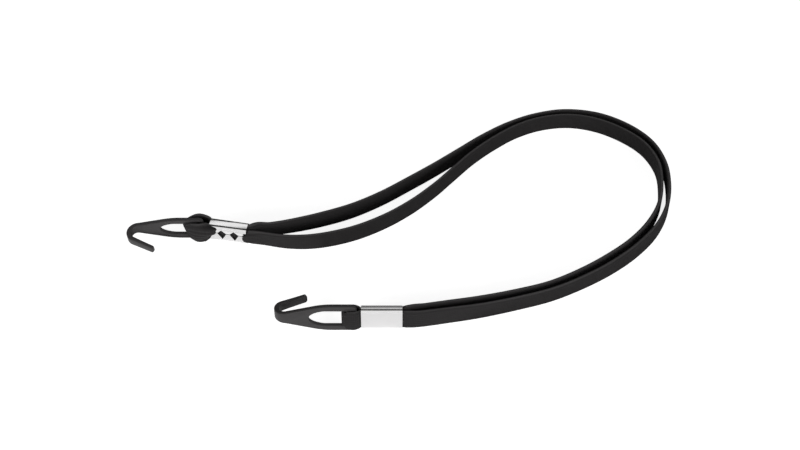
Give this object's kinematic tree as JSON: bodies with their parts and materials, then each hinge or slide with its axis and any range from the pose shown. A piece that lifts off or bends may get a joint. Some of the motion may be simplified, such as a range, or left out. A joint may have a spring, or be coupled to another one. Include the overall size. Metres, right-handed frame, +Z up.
{
  "type": "elastic luggage strap",
  "caption": "Flat elastic luggage strap: a doubled woven band looped through the eyes of moulded plastic hooks and gripped behind each hook by a folded sheet-metal ferrule.",
  "frame": {"origin": "on the surface that the strap lies on, at the middle of the box round its hooks, ferrules and loops", "axes": "+X runs from the hooks along the ferrules towards the bend of the strap, +Y from the front end to the back end, +Z up; the bands stand on edge"},
  "size_m": [0.3008, 0.183, 0.0154],
  "materials": {
    "hook_plastic": "satin black moulded plastic",
    "ferrule_steel": "bright nickel-plated sheet steel",
    "woven_elastic": "black woven elastic with lengthwise ribs"
  },
  "bodies": {
    "strap": {"outer_run": "woven_elastic", "inner_run": "woven_elastic", "front_ferrule": "ferrule_steel", "front_loop": "woven_elastic"},
    "back_end": {"back_ferrule": "ferrule_steel", "back_loop": "woven_elastic"},
    "back_hook": {"back_hook": "hook_plastic"},
    "front_hook": {"front_hook": "hook_plastic"}
  },
  "joints": [
    {"name": "stretch", "type": "slide", "parent": "strap", "child": "back_end", "axis": [-0.9856, 0.1693, 0], "range_m": [0, 0.25], "stiffness_N_per_m": 150, "deforming": ["outer_run", "inner_run"]},
    {"name": "back_swivel", "type": "hinge", "parent": "back_end", "child": "back_hook", "pos_m": [-0.0343, 0.0325, 0.00769], "axis": [0, 0, 1], "range_deg": [-60, 60], "deforming": ["back_loop"]},
    {"name": "front_swivel", "type": "hinge", "parent": "strap", "child": "front_hook", "pos_m": [0.0498, -0.0363, 0.00773], "axis": [0, 0, 1], "range_deg": [-60, 60], "deforming": ["front_loop"]}
  ]
}
